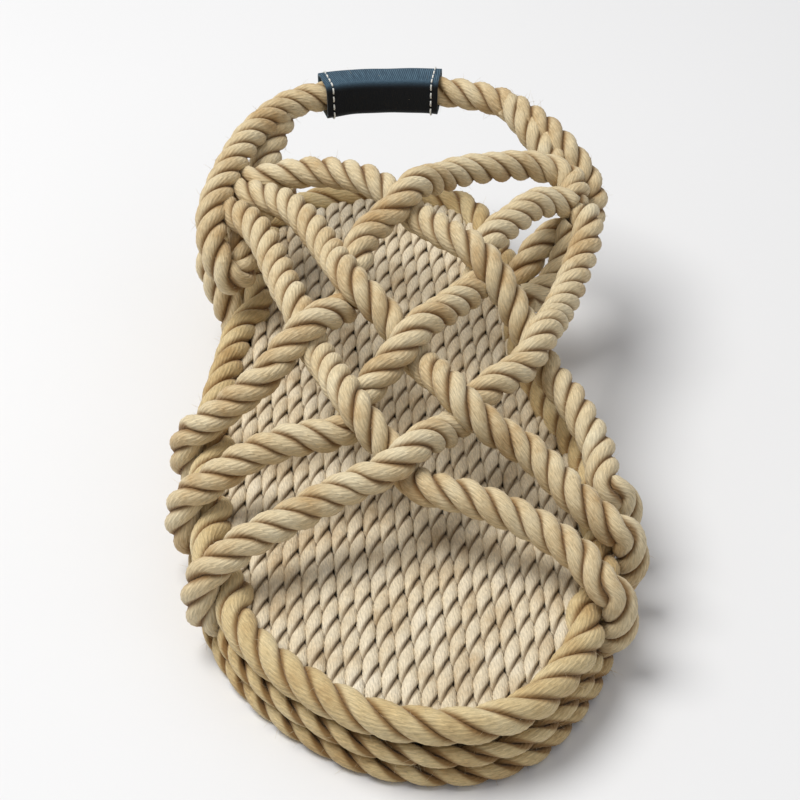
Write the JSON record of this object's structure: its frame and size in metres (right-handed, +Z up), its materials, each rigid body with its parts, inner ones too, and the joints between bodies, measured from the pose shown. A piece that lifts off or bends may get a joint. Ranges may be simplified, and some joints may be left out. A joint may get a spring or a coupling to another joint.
{
  "type": "rope sandal",
  "caption": "Rope sandal with a twined footbed, a rope-bound sole, a woven rope vamp over the forefoot and a heel strap carrying a bare fabric sleeve.",
  "frame": {"origin": "on the floor, under the middle of the shoe's bounding box", "axes": "+Z up, -Y towards the toe, +X towards the inner side of the foot; this is the right shoe"},
  "size_m": [0.147, 0.2768, 0.0721],
  "materials": {
    "outsole_rope": "matt twisted plant fibre, pressed flat underneath",
    "footbed_cord": "matt twined cord in lengthwise columns",
    "rim_rope": "matt three-strand rope with a faint silky sheen along each strand",
    "strap_rope": "matt three-strand rope with a faint silky sheen along each strand",
    "sleeve_fabric": "dark twill with a pale stitched line at each end"
  },
  "bodies": {
    "root": {"outsole_mat": "outsole_rope", "footbed_mat": "footbed_cord", "lower_rim_rope": "rim_rope", "middle_rim_rope": "rim_rope", "top_rim_rope": "rim_rope", "upper_straps": "strap_rope", "heel_strap": "strap_rope", "label_sleeve": "sleeve_fabric"}
  },
  "joints": []
}
